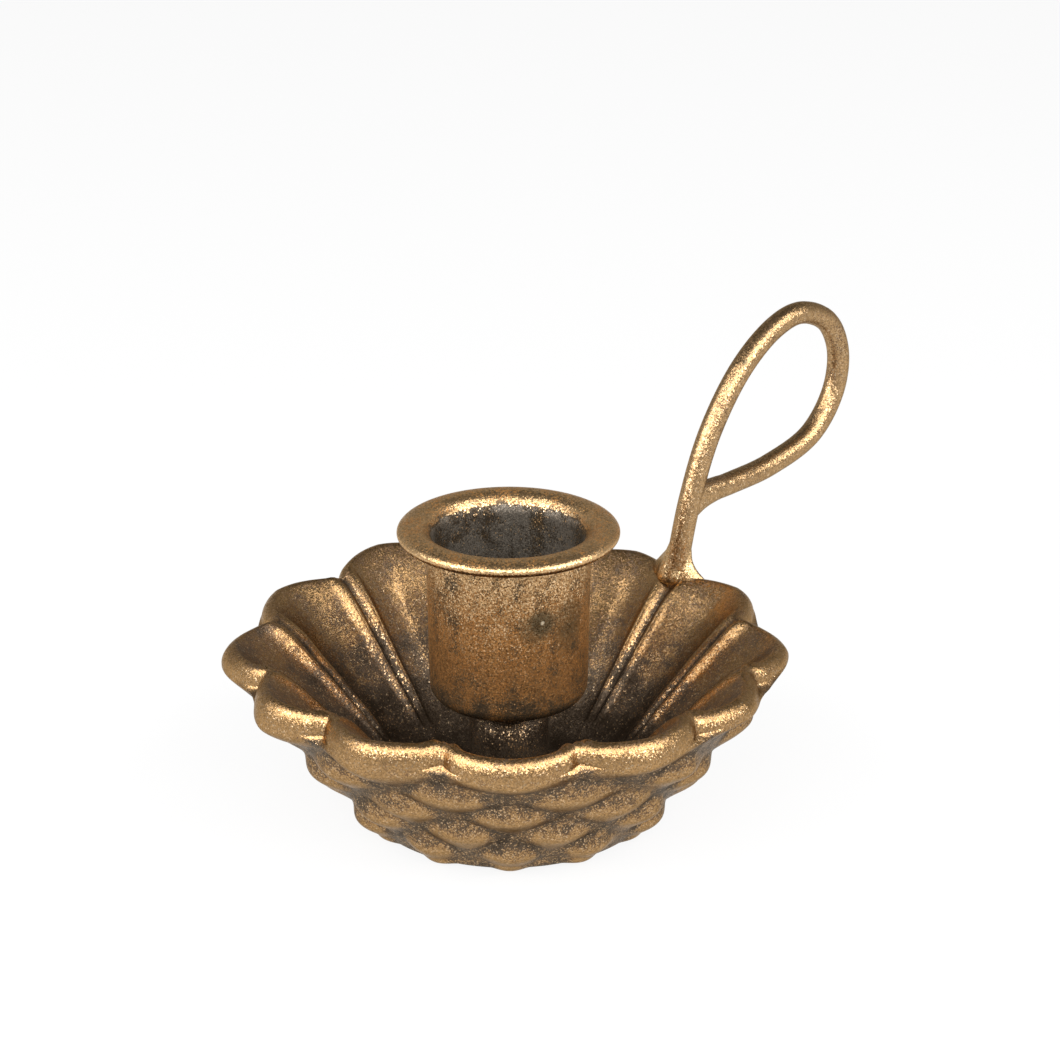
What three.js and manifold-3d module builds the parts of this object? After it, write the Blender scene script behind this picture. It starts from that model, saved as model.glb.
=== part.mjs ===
// Taper candle holder: a drip bowl cast like an open pinecone, a candle cup on a short post and
// a finger loop bent from one rod. Millimetres, +Z up, origin at the middle of the underside,
// +X towards the finger loop.

import * as THREE from 'three';
import { mergeVertices } from 'three/addons/utils/BufferGeometryUtils.js';
import Module from 'manifold-3d';

const wasm = await Module();
wasm.setup();

// Fits
const CUT_GAP = 0.3; // left where one piece is cut around another
const SCREW_CLEAR = 0.3; // radial room around the screw
const SCREW_END_CLEAR = 0.7; // room under the screw's tip
const CANDLE_CLEAR = 0.55; // radial room around the candle

// Bowl: rim and lips
const PETALS = 12;
const RIM_R = 43.9; // tip of a petal
const RIM_Z = 29.1; // crest of a petal
const LIP_THICK = 1.8; // crest back from the tip
const LIP_UP = 4.8; // crest above the tip
const LIP_DOWN = 2.3; // underside below the tip
const LIP_UNDERCUT = 5.5; // half width of the ellipse under the tip
const LIP_UNDER_TURN = -1.3; // radians of that ellipse before it meets the wall
const LIP_ROUND = 2.3; // superellipse power over the tip
const SCALLOP = 4.5; // notches step in
const NOTCH_DROP = 1.1; // notches dip below the crests
const LOBE_TIP = 1.7; // roundness of a petal's tip in plan
const LOBE_SIDE = 0.8; // steepness of its sides at the notch

// Bowl: outer wall and scales
const FOOT_R = 21.2;
const WALL_FLARE = 0.79; // radius gained per height
const SCALE_ROWS = 4;
const SCALE_PITCH = 4.9;
const SCALE_LOW_Z = 3.9; // middle of the lowest row
const SCALE_PROUD = 1.7;
const SCALE_ROUND = 0.7;
const SCALE_FOOT = 0.45; // share of the pitch below which the lowest row runs straight down

// Bowl: inside
const FLOOR_Z = 5.4;
const FLOOR_R = 14;
const FLOOR_FILLET = 5;
const INSIDE_CROWN = 9.3; // reach of the inside curve's pull at the crest
const INSIDE_SAG = 3.4; // dish of a petal's middle
const RIDGE_PROUD = 1.1;
const RIDGE_AT = 0.76; // place across the half petal
const RIDGE_WIDE = 0.17;
const GROOVE_DEEP = 0.9;
const FLUTE_FADE = 0.2; // last share of the inside curve, where the flutes have run out
const FLUTE_GROW = 0.22; // first share, where they rise from the crest
const FLUTE_AT_CREST = 0.35; // how much of them is on the crest already
const TAP_DEPTH = 3.9;

// Pedestal, candle cup and screw
const POST_R = 6.15;
const POST_H = 14.3;
const POST_FLARE = 1.2;
const CANDLE_D = 22;
const CUP_WALL = 1.15;
const CUP_DRAFT = 0.45; // radius lost from mouth to foot
const CUP_FLOOR = 1.5;
const CUP_H = 28.6;
const CUP_CORNER = 2.5;
const CUP_LIP_WIDE = 2.55; // half width of the rolled lip
const CUP_LIP_TALL = 1.3; // half height of it
const CUP_LIP_OVER = 4.15; // lip out from the wall
const SCREW_R = 2;
const HEAD_R = 4;
const HEAD_H = 2.4;
const HEAD_SIDE = 1.1; // straight side of the pan head
const SLOT_W = 1;
const SLOT_D = 1.1;

// Finger loop and welds
const ROD_R = 1.7;
const STEM_SET = 0.8; // stem out from the notch's crest
const STEM_LIFT = 1.5; // stem's end above the notch's crest
const STEM_LEAN = 0.28; // outward per height
const STEM_H = 36.4;
const LOOP_REACH = 39.5;
const LOOP_END_H = 10.8;
const ROOT_WELD_SIDE = 4.3;
const ROOT_WELD_RADIAL = 3;
const ROOT_WELD_TALL = 3.4;
const LOOP_WELD_R = 2.7;
const LOOP_WELD_LONG = 2.3;

// Facets
const PETAL_COLUMNS = 8;
const LIP_CROWDING = 1.3; // how far columns crowd towards the notches, 1 for even
const INSIDE_CROWDING = 1.6;
const SCALE_STEPS = 4;
const LIP_STEPS = 7;
const INSIDE_STEPS = 8;
const ROUND_SIDES = 40;
const SCREW_SIDES = 20;
const ARC_STEPS = 4;
const CUP_LIP_STEPS = 10;
const ROD_SIDES = 12;
const ROD_STEPS = 52;
const WELD_SIDES = 20;

// Places that follow
const CUP_Z = FLOOR_Z + POST_H;
const SEAT_Z = CUP_Z + CUP_FLOOR;
const BORE_R = CANDLE_D / 2 + CANDLE_CLEAR;
const CUP_R = BORE_R + CUP_WALL;
const SCREW_HOLE_R = SCREW_R + SCREW_CLEAR;
const TAP_Z = FLOOR_Z - TAP_DEPTH;
const HALF_PETAL = Math.PI / PETALS;
const QUARTER = Math.PI / 2;

const mix = THREE.MathUtils.lerp;
const clamp = THREE.MathUtils.clamp;
const v2 = (x, y) => new THREE.Vector2(x, y);
const v3 = (x, z) => new THREE.Vector3(x, 0, z);

// Positions only, with shared corners joined and facets that shrank to a line left out.
function joined(geometry) {
  const bare = new THREE.BufferGeometry();
  bare.setAttribute('position', geometry.getAttribute('position').clone());
  bare.setIndex(geometry.getIndex() ? geometry.getIndex().clone() : null);
  const merged = mergeVertices(bare, 1e-4);
  const index = merged.getIndex().array;
  const kept = [];
  for (let i = 0; i < index.length; i += 3) {
    const [a, b, c] = index.slice(i, i + 3);
    if (a !== b && b !== c && c !== a) kept.push(a, b, c);
  }
  merged.setIndex(kept);
  return merged;
}

function solid(geometry) {
  const whole = joined(geometry);
  return new wasm.Manifold(new wasm.Mesh({
    numProp: 3,
    vertProperties: new Float32Array(whole.getAttribute('position').array),
    triVerts: new Uint32Array(whole.getIndex().array),
  }));
}

function geometryOf(body) {
  const mesh = body.getMesh();
  const corners = new Float32Array(mesh.vertProperties);
  const geometry = new THREE.BufferGeometry();
  geometry.setAttribute('position', new THREE.BufferAttribute(corners, 3));
  geometry.setIndex(new THREE.BufferAttribute(new Uint32Array(mesh.triVerts), 1));
  return geometry;
}

// A lathe turns about Y, so each turned piece is tipped up onto +Z.
function turned(profile, sides) {
  return new THREE.LatheGeometry(profile, sides).rotateX(QUARTER);
}

function arc(cx, cy, rx, ry, from, to, steps) {
  const points = [];
  for (let i = 0; i <= steps; i += 1) {
    const t = mix(from, to, i / steps);
    points.push(v2(cx + rx * Math.cos(t), cy + ry * Math.sin(t)));
  }
  return points;
}

// Bowl: "across" runs from -1 to 1 over one petal, 0 on its middle and +-1 on the notches.
function lobe(across) {
  return Math.pow(1 - Math.pow(Math.abs(across), LOBE_TIP), LOBE_SIDE);
}

function wallR(z) {
  return FOOT_R + WALL_FLARE * z;
}

// Rows of diamond scales, every other row shifted by half a petal.
function scaleHeight(across, z) {
  const level = (z - SCALE_LOW_Z) / SCALE_PITCH;
  for (let row = 0; row < SCALE_ROWS; row += 1) {
    const side = row % 2 === 0 ? Math.abs(across) : 1 - Math.abs(across);
    const up = row === 0 ? Math.max(level, -SCALE_FOOT) : level - row;
    const p = side + up;
    const q = side - up;
    if (Math.abs(p) < 1 && Math.abs(q) < 1) {
      return SCALE_PROUD * Math.pow((1 - p * p) * (1 - q * q), SCALE_ROUND);
    }
  }
  return 0;
}

// Roll of the lip: an ellipse tucked back under the tip, a superellipse from the tip to the crest.
function lipPoint(across, turn) {
  const inset = 1 - lobe(across);
  const tipR = RIM_R - SCALLOP * inset;
  const tipZ = RIM_Z - LIP_UP - NOTCH_DROP * inset;
  if (turn < 0) {
    const z = tipZ + LIP_DOWN * Math.sin(turn);
    return v2(Math.max(wallR(z), tipR - LIP_UNDERCUT * (1 - Math.cos(turn))), z);
  }
  const bend = (x) => Math.pow(Math.max(0, x), 2 / LIP_ROUND);
  return v2(tipR - LIP_THICK * (1 - bend(Math.cos(turn))), tipZ + LIP_UP * bend(Math.sin(turn)));
}

// Inside of a petal: a dished curve from the crest to the floor, raised beside each notch and
// grooved along it.
function insidePoint(across, t) {
  const crest = lipPoint(across, QUARTER);
  const point = new THREE.CubicBezierCurve(
    crest,
    v2(crest.x - INSIDE_CROWN, crest.y - INSIDE_SAG * lobe(across)),
    v2(FLOOR_R + FLOOR_FILLET, FLOOR_Z),
    v2(FLOOR_R, FLOOR_Z),
  ).getPoint(t);
  const side = Math.abs(across) - RIDGE_AT;
  const ridge = RIDGE_PROUD * Math.exp(-Math.pow(side / RIDGE_WIDE, 2));
  const groove = GROOVE_DEEP * Math.pow(Math.max(0, side / (1 - RIDGE_AT)), 2);
  const grown = mix(FLUTE_AT_CREST, 1, clamp(t / FLUTE_GROW, 0, 1));
  const left = clamp((1 - t) / FLUTE_FADE - 1, 0, 1);
  const lift = grown * left * (ridge - groove) * Math.SQRT1_2;
  return v2(point.x - lift, point.y + lift);
}

// One radial outline of the bowl, from under its middle round to the screw's hole. "even" is the
// column's place across its petal before the columns crowd towards the notches.
function bowlOutline(even) {
  const crowd = (power) => Math.sign(even) * (1 - Math.pow(1 - Math.abs(even), power));
  const onLip = crowd(LIP_CROWDING);
  const inside = crowd(INSIDE_CROWDING);
  const outline = [];
  const add = (across, point, proud = 0) => {
    outline.push({ across, r: point.x, z: point.y, proud });
  };
  const addWall = (z) => {
    const proud = scaleHeight(even, z);
    add(even, v2(wallR(z) + proud, z), proud);
  };
  add(even, v2(0, 0));
  addWall(0);
  const rowStep = SCALE_PITCH / SCALE_STEPS;
  const below = Math.ceil(SCALE_LOW_Z / rowStep) - 2;
  for (let i = -below; i <= SCALE_STEPS * (SCALE_ROWS - 1) + 1; i += 1) {
    addWall(SCALE_LOW_Z + rowStep * i);
  }
  for (let i = 0; i < LIP_STEPS; i += 1) {
    add(onLip, lipPoint(onLip, mix(LIP_UNDER_TURN, QUARTER, i / LIP_STEPS)));
  }
  for (let i = 0; i <= INSIDE_STEPS; i += 1) {
    add(inside, insidePoint(inside, i / INSIDE_STEPS));
  }
  add(inside, v2(SCREW_HOLE_R, FLOOR_Z));
  add(inside, v2(SCREW_HOLE_R, TAP_Z));
  add(inside, v2(0, TAP_Z));
  return outline;
}

// The outlines are set around a lathe. Each pair of facets is split along the valley between two
// scales, or else along the scale's own contour.
function bowlGeometry() {
  const columns = PETALS * PETAL_COLUMNS;
  const outlines = [];
  for (let i = 0; i <= columns; i += 1) {
    const column = i % columns;
    const petal = Math.floor(column / PETAL_COLUMNS);
    const outline = bowlOutline(2 * (column % PETAL_COLUMNS) / PETAL_COLUMNS - 1);
    outlines.push(outline.map((p) => ({ ...p, turn: HALF_PETAL * (2 * petal + 1 + p.across) })));
  }
  const rows = outlines[0].length;
  const geometry = new THREE.LatheGeometry(outlines[0].map((p) => v2(p.r, p.z)), columns);
  const position = geometry.getAttribute('position');
  const index = [];
  const slant = (from, to) => Math.abs(from.proud - to.proud) + (from.proud + to.proud) / 2;
  for (let i = 0; i <= columns; i += 1) {
    outlines[i].forEach((p, j) => {
      position.setXYZ(i * rows + j, p.r * Math.cos(p.turn), p.z, -p.r * Math.sin(p.turn));
    });
  }
  for (let i = 0; i < columns; i += 1) {
    for (let j = 0; j < rows - 1; j += 1) {
      const a = i * rows + j;
      const b = a + rows;
      const rising = slant(outlines[i][j], outlines[i + 1][j + 1]);
      const falling = slant(outlines[i + 1][j], outlines[i][j + 1]);
      if (rising < falling) index.push(a, b, b + 1, a, b + 1, a + 1);
      else index.push(a, b, a + 1, b, b + 1, a + 1);
    }
  }
  geometry.setIndex(index);
  return geometry.rotateX(QUARTER);
}

const bowl = bowlGeometry();

// Pedestal: a post that flares a little where it stands on the floor, bored for the screw.
const flareR = POST_R + POST_FLARE;
const flareZ = FLOOR_Z + POST_FLARE;
const pedestal = turned([
  v2(SCREW_HOLE_R, FLOOR_Z),
  ...arc(flareR, flareZ, POST_FLARE, POST_FLARE, -QUARTER, -2 * QUARTER, ARC_STEPS),
  v2(POST_R, CUP_Z),
  v2(SCREW_HOLE_R, CUP_Z),
  v2(SCREW_HOLE_R, FLOOR_Z),
], ROUND_SIDES);

// Candle cup: drawn with a little draft, its mouth rolled outwards into a full lip.
const lipR = CUP_R + CUP_LIP_OVER - CUP_LIP_WIDE;
const lipZ = CUP_Z + CUP_H - CUP_LIP_TALL;
const creaseTurn = Math.acos((lipR - CUP_R) / CUP_LIP_WIDE) - Math.PI;
const boreTurn = Math.PI - Math.acos(Math.min(1, (lipR - BORE_R) / CUP_LIP_WIDE));
const outerCornerR = CUP_R - CUP_DRAFT - CUP_CORNER;
const innerCorner = CUP_CORNER - CUP_WALL;
const innerCornerR = BORE_R - CUP_DRAFT - innerCorner;
const cup = turned([
  v2(SCREW_HOLE_R, CUP_Z),
  ...arc(outerCornerR, CUP_Z + CUP_CORNER, CUP_CORNER, CUP_CORNER, -QUARTER, 0, ARC_STEPS),
  ...arc(lipR, lipZ, CUP_LIP_WIDE, CUP_LIP_TALL, creaseTurn, boreTurn, CUP_LIP_STEPS),
  ...arc(innerCornerR, SEAT_Z + innerCorner, innerCorner, innerCorner, 0, -QUARTER, ARC_STEPS),
  v2(SCREW_HOLE_R, SEAT_Z),
  v2(SCREW_HOLE_R, CUP_Z),
], ROUND_SIDES);

// Screw: slotted pan head, shank down through cup and pedestal into the bowl's floor.
const tipZ = TAP_Z + SCREW_END_CLEAR;
const screwBody = turned([
  v2(0, tipZ),
  v2(SCREW_R, tipZ),
  v2(SCREW_R, SEAT_Z),
  v2(HEAD_R, SEAT_Z),
  ...arc(0, SEAT_Z + HEAD_SIDE, HEAD_R, HEAD_H - HEAD_SIDE, 0, QUARTER, ARC_STEPS),
], SCREW_SIDES);
const slotCutter = new THREE.BoxGeometry(3 * HEAD_R, SLOT_W, 2 * SLOT_D)
  .translate(0, 0, SEAT_Z + HEAD_H);
const screw = geometryOf(solid(screwBody).subtract(solid(slotCutter)));

// Finger loop: the stem rises from the notch, leans out, turns over and comes back to the stem.
// Points between are shares of the loop's reach and height.
const notch = lipPoint(1, QUARTER);
const footX = notch.x + STEM_SET;
const footZ = notch.y + STEM_LIFT;
const endZ = footZ + LOOP_END_H;
const stemSide = ROD_R * Math.hypot(1, STEM_LEAN);
const endX = footX + STEM_LEAN * (LOOP_END_H + ROD_R) + stemSide + CUT_GAP;
const onLoop = (out, up) => v3(footX + LOOP_REACH * out, footZ + STEM_H * up);
const rodPath = new THREE.CatmullRomCurve3([
  v3(footX, footZ),
  v3(footX + STEM_LEAN * LOOP_END_H, endZ),
  onLoop(0.186, 0.59),
  onLoop(0.37, 0.841),
  onLoop(0.574, 0.977),
  onLoop(0.738, 1),
  onLoop(0.915, 0.907),
  onLoop(0.993, 0.747),
  onLoop(0.968, 0.569),
  onLoop(0.83, 0.409),
  onLoop(0.574, 0.33),
  onLoop(0.33, 0.31),
  v3(endX, endZ),
], false, 'centripetal');

function rodGeometry(radius) {
  const circle = new THREE.Shape().absarc(0, 0, radius, 0, 2 * Math.PI, false);
  return new THREE.ExtrudeGeometry(circle, {
    steps: ROD_STEPS,
    curveSegments: ROD_SIDES / 2,
    extrudePath: rodPath,
  });
}

const rod = rodGeometry(ROD_R);

// Weld beads: lumps of filler, each left clear of the metal that it joins.
function bead(rx, ry, rz, x, z) {
  const ball = new THREE.SphereGeometry(1, WELD_SIDES, WELD_SIDES / 2);
  return solid(ball.rotateX(QUARTER).scale(rx, ry, rz).translate(x, 0, z));
}

const rodRoom = solid(rodGeometry(ROD_R + CUT_GAP));
const bowlSolid = solid(bowl);
let rootBead = bead(ROOT_WELD_RADIAL, ROOT_WELD_SIDE, ROOT_WELD_TALL, footX, footZ);
rootBead = rootBead.subtract(rodRoom);
for (const [x, y, z] of [[0, 0, 1], [1, 0, 0], [-1, 0, 0], [0, 1, 0], [0, -1, 0]]) {
  rootBead = rootBead.subtract(bowlSolid.translate([CUT_GAP * x, CUT_GAP * y, CUT_GAP * z]));
}
const loopBead = bead(LOOP_WELD_LONG, LOOP_WELD_R, LOOP_WELD_R, endX - CUT_GAP, endZ);
const rootWeld = geometryOf(rootBead);
const loopWeld = geometryOf(loopBead.subtract(rodRoom));

const group = new THREE.Group();
group.name = 'taper_candle_holder';

function place(name, geometry, color, roughness) {
  const shape = joined(geometry);
  shape.computeVertexNormals();
  const material = new THREE.MeshStandardMaterial({ color, roughness, metalness: 0.9 });
  const mesh = new THREE.Mesh(shape, material);
  mesh.name = name;
  group.add(mesh);
}

place('bowl', bowl, 0x8f6d3d, 0.45);
place('cup_pedestal', pedestal, 0x4a433a, 0.6);
place('candle_cup', cup, 0x9a743f, 0.42);
place('cup_screw', screw, 0x6b6357, 0.45);
place('handle_rod', rod, 0x96713d, 0.42);
place('loop_weld', loopWeld, 0x96713d, 0.48);
place('root_weld', rootWeld, 0x8f6d3d, 0.5);

export default group;
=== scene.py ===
# Taper candle holder in antique brass: a drip bowl cast like an open pinecone, a candle cup on a
# short post and a finger loop bent from one rod. Metres, +Z up, +X towards the finger loop.

import math

import bpy
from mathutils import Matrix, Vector, noise


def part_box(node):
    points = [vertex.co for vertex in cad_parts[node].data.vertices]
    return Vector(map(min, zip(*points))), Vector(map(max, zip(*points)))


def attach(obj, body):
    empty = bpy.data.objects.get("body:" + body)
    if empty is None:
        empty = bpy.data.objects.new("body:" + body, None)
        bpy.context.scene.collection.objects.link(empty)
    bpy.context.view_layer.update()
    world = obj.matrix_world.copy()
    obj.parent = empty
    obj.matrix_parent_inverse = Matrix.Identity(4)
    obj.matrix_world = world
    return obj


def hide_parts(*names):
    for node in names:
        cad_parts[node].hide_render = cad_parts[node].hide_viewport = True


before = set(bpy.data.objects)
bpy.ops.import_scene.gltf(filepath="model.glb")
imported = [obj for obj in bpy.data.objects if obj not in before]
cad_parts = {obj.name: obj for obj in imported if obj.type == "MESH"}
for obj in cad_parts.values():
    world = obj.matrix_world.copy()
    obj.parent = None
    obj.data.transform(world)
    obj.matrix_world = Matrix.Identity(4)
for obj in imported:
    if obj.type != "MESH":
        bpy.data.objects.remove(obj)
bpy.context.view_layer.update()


# Bowl
# One brass casting like an open pinecone: twelve petals with rolled lips, fluted inside, diamond
# scales in staggered rows outside. Its antique finish is gold on the high places and dark in the
# hollows. It stands on its flat underside and carries every other piece.

MM = 0.001
QUARTER = math.pi / 2

PETALS = 12
RIM_R = 0.0436
RIM_Z = 0.0288
LIP_THICK = 0.0022
LIP_UP = 0.0033
LIP_DOWN = 0.0027
LIP_UNDERCUT = 0.0042
LIP_TUCK = 1.7
LIP_ROUND = 2.0
LIP_FILLET = 0.0014
SCALLOP = 0.0045
NOTCH_DROP = 0.0004
BEAD_PROUD = 0.00025
BEAD_AT = 0.83
BEAD_WIDE = 0.12
LOBE_TIP = 1.7
LOBE_SIDE = 0.8
NOTCH_ROUND = 0.08
FOOT_R = 0.0212
FOOT_ROUND = 0.0009
WALL_FLARE = 0.79
SCALE_ROWS = 4
SCALE_PITCH = 0.0049
SCALE_LOW_Z = 0.0039
SCALE_PROUD = 0.0022
SCALE_ROUND = 1.5
SCALE_FOOT = 0.45
FLOOR_Z = 0.0054
FLOOR_R = 0.014
FLOOR_FILLET = 0.005
INSIDE_CROWN = 0.0075
INSIDE_SAG = 0.0052
CROWN_SCALLOP = 0.2
RIDGE_PROUD = 0.0006
RIDGE_AT = 0.82
RIDGE_WIDE = 0.09
GROOVE_DEEP = 0.0009
FLUTE_FADE = 0.2
FLUTE_GROW = 0.22
FLUTE_AT_CREST = 0.75

# Depth of the patina, from 0 on bright gold to 1 and more in dark hollows, with a painted highlight
# and painted shade on the scales.
UNDERSIDE_DARK = 0.6
VALLEY_DARK = 0.95
SCALE_LOWER_HIGHLIGHT = 0.02
SCALE_UPPER_SHADE = 0.8
LIP_LIGHT = 0.12
LIP_DARK = 0.75
CREST_DARK = 0.45
NOTCH_DARK = 0.4
INSIDE_DARK = 0.46
DEEP_DARK = 0.95
RIDGE_LIGHT = 0.32
GROOVE_DARK = 0.5
FLOOR_DARK = 1.4

BOWL_COLUMNS = 480
BASE_ROWS = 6
WALL_STEPS = 88
LIP_STEPS = 18
INSIDE_STEPS = 46
FLOOR_STEPS = 6


def mix(a, b, share):
    return a + (b - a) * share


def clamp(x, low=0.0, high=1.0):
    return max(low, min(high, x))


def smoothstep(low, high, x):
    t = clamp((x - low) / (high - low))
    return t * t * (3 - 2 * t)


# Reach of a petal across its width: full in the middle, none in the rounded bottom of a notch.
def lobe(across):
    from_notch = math.hypot(1 - abs(across), NOTCH_ROUND) - NOTCH_ROUND
    return (1 - (1 - from_notch) ** LOBE_TIP) ** LOBE_SIDE


def wall_r(z):
    return FOOT_R + WALL_FLARE * z


# Height of the scale at a place on the wall, as a share, and how far up its own scale that is.
def scale_at(across, z):
    level = (z - SCALE_LOW_Z) / SCALE_PITCH
    for row in range(SCALE_ROWS):
        side = abs(across) if row % 2 == 0 else 1 - abs(across)
        up = max(level, -SCALE_FOOT) if row == 0 else level - row
        p = side + up
        q = side - up
        if abs(p) < 1 and abs(q) < 1:
            return ((1 - p * p) * (1 - q * q)) ** SCALE_ROUND, up
    return 0.0, 0.0


# Tip of the lip, and the lip's face from the tip up to the crest. A petal's face is full height
# beside the notches, and tall in the middle by the petal's own share.
def face_share(across, tall):
    return mix(tall, 1, across * across)


def lip_tip(across, tall):
    inset = 1 - lobe(across)
    bead = BEAD_PROUD * math.exp(-((abs(across) - BEAD_AT) / BEAD_WIDE) ** 2)
    up = LIP_UP * face_share(across, tall)
    return RIM_R - SCALLOP * inset + bead, RIM_Z - up - NOTCH_DROP * inset


def lip_point(across, tall, turn):
    tip_r, tip_z = lip_tip(across, tall)
    out = max(0, math.cos(turn)) ** (2 / LIP_ROUND)
    up = max(0, math.sin(turn)) ** (2 / LIP_ROUND) * LIP_UP * face_share(across, tall)
    return tip_r - LIP_THICK * (1 - out), tip_z + up


# The larger of two radii, run together in a fillet.
def fillet_max(a, b, size):
    blend = max(0, size - abs(a - b)) / size
    return max(a, b) + blend * blend * size / 4


def bezier(a, b, c, d, t):
    s = 1 - t
    return s ** 3 * a + 3 * s * s * t * b + 3 * s * t * t * c + t ** 3 * d


# Inside of a petal: a dished curve from crest to floor, raised beside each notch, grooved along it.
def inside_point(across, t):
    crest_r, crest_z = lip_point(across, 1, QUARTER)
    crown_r = mix(RIM_R - SCALLOP / 2, crest_r, CROWN_SCALLOP) - INSIDE_CROWN
    r = bezier(crest_r, crown_r, FLOOR_R + FLOOR_FILLET, FLOOR_R, t)
    z = bezier(crest_z, crest_z - INSIDE_SAG * lobe(across), FLOOR_Z, FLOOR_Z, t)
    side = abs(across) - RIDGE_AT
    ridge = math.exp(-(side / RIDGE_WIDE) ** 2)
    groove = max(0, side / (1 - RIDGE_AT)) ** 2
    grown = mix(FLUTE_AT_CREST, 1, clamp(t / FLUTE_GROW))
    left = clamp((1 - t) / FLUTE_FADE - 1)
    lift = grown * left * (RIDGE_PROUD * ridge - GROOVE_DEEP * groove) * math.sqrt(0.5)
    return r - lift, z + lift, grown * left * ridge, grown * left * groove


def notch_dark(across):
    return NOTCH_DARK * smoothstep(0.92, 1.0, abs(across))


# Radius, height and depth of patina of the bowl at a step along its outline.
def bowl_point(across, tall, step):
    if step < BASE_ROWS:
        return FOOT_R * step / BASE_ROWS, 0.0, UNDERSIDE_DARK
    step -= BASE_ROWS
    if step <= WALL_STEPS:
        tip_r, tip_z = lip_tip(across, tall)
        z = tip_z * step / WALL_STEPS
        height, up = scale_at(across, z)
        rounding = FOOT_ROUND - math.sqrt(max(0, FOOT_ROUND ** 2 - max(0, FOOT_ROUND - z) ** 2))
        wall = wall_r(z) + SCALE_PROUD * height - rounding
        down = max(0, tip_z - z) / (LIP_DOWN * face_share(across, tall))
        lip = tip_r - LIP_UNDERCUT * down ** LIP_TUCK
        valley = VALLEY_DARK * (1 - smoothstep(0.04, 0.55, height))
        # Painted highlight on the lower half of each scale and painted shade on its upper half, over
        # the patina in the valleys between them.
        on_wall = max(valley, mix(SCALE_LOWER_HIGHLIGHT, SCALE_UPPER_SHADE, smoothstep(-0.1, 0.5, up)))
        under = mix(LIP_LIGHT, LIP_DARK, smoothstep(0.3, 1.0, down))
        on_lip = max(under, notch_dark(across))
        share = smoothstep(-LIP_FILLET, LIP_FILLET, lip - wall)
        return fillet_max(wall, lip, LIP_FILLET), z, mix(on_wall, on_lip, share)
    step -= WALL_STEPS
    if step < LIP_STEPS:
        turn = QUARTER * step / LIP_STEPS
        r, z = lip_point(across, tall, turn)
        crown = mix(LIP_LIGHT, CREST_DARK, smoothstep(0.7, 1.5, turn))
        return r, z, max(crown, notch_dark(across))
    step -= LIP_STEPS
    if step <= INSIDE_STEPS:
        t = step / INSIDE_STEPS
        r, z, ridge, groove = inside_point(across, t)
        hollow = DEEP_DARK * smoothstep(0.2, 0.8, t) + GROOVE_DARK * groove
        return r, z, max(0, INSIDE_DARK + hollow - RIDGE_LIGHT * ridge)
    step -= INSIDE_STEPS
    return FLOOR_R * (1 - step / FLOOR_STEPS), FLOOR_Z, FLOOR_DARK


BOWL_ROWS = BASE_ROWS + WALL_STEPS + LIP_STEPS + INSIDE_STEPS + FLOOR_STEPS + 1


# A chain of corners drawn from one point, as an outline to spin.
def outline(name, points):
    bpy.ops.object.select_all(action="DESELECT")
    bpy.ops.mesh.primitive_plane_add(size=MM)
    piece = bpy.context.object
    piece.name = name
    piece.data.name = name
    bpy.ops.object.mode_set(mode="EDIT")
    bpy.ops.mesh.select_all(action="SELECT")
    bpy.ops.mesh.merge(type="CENTER")
    bpy.ops.transform.translate(value=(points[0][0], 0, points[0][1]))
    for (r, z), (next_r, next_z) in zip(points, points[1:]):
        bpy.ops.mesh.extrude_region_move(
            TRANSFORM_OT_translate={"value": (next_r - r, 0, next_z - z)}
        )
    bpy.ops.object.mode_set(mode="OBJECT")
    return piece


# Spins an outline about the upright axis, in equal sectors, and closes its seams and poles.
def spun(piece, columns, sectors=1):
    axis = {"center": (0, 0, 0), "axis": (0, 0, 1)}
    sector = math.tau / sectors
    bpy.ops.object.mode_set(mode="EDIT")
    bpy.ops.mesh.select_all(action="SELECT")
    bpy.ops.mesh.spin(steps=columns // sectors, angle=sector, **axis)
    if sectors > 1:
        bpy.ops.mesh.select_all(action="SELECT")
        bpy.ops.mesh.spin(steps=sectors - 1, angle=math.tau - sector, dupli=True, **axis)
    bpy.ops.mesh.select_all(action="SELECT")
    bpy.ops.mesh.remove_doubles(threshold=MM / 1000)
    bpy.ops.mesh.normals_make_consistent(inside=False)
    bpy.ops.object.mode_set(mode="OBJECT")
    bpy.ops.object.shade_smooth()
    return piece


# Each corner of the outline keeps its row, because a spin numbers the vertices in its own order.
blank = [bowl_point(0, 1, step)[:2] for step in range(BOWL_ROWS)]
bowl = outline("bowl_casting", blank)
row_of = bowl.data.attributes.new("row", "FLOAT", "POINT")
for vertex in bowl.data.vertices:
    at = (vertex.co.x, vertex.co.z)
    row_of.data[vertex.index].value = min(range(BOWL_ROWS), key=lambda i: math.dist(at, blank[i]))
spun(bowl, BOWL_COLUMNS, PETALS)

LUMP_SIZE = 0.0075
LUMP_PROUD = 0.00035
LUMP_START_Z = 0.004
# What each petal does by itself, counted round from the finger loop: its reach, its lift, how tall its
# lip's face is and how much painted shade darkens its inside. The saddle is the dip of the notch that
# the loop stands in.
PETAL_REACH = [0, 0, -0.0002, 0.0001, 0.0008, -0.0003, -0.0001, 0, -0.0009, -0.0018, -0.0002, 0]
PETAL_LIFT = [0, 0, 0.0015, 0.0001, -0.0006, 0, 0, -0.0007, -0.0004, -0.001, -0.0008, 0]
PETAL_FACE = [0.8, 0.8, 0.8, 0.8, 1.0, 1.25, 1.3, 1.12, 1.1, 0.8, 0.62, 0.7]
PETAL_PAINTED_SHADE = [0.0, 0.05, 0.08, 0.05, 0.4, 0.35, 0.3, 0.3, 0.3, 0.35, 0.15, 0.0]
PETAL_WARM = 0.4
SADDLE_DROP = 0.0016
SADDLE_WIDE = 0.055

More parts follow.
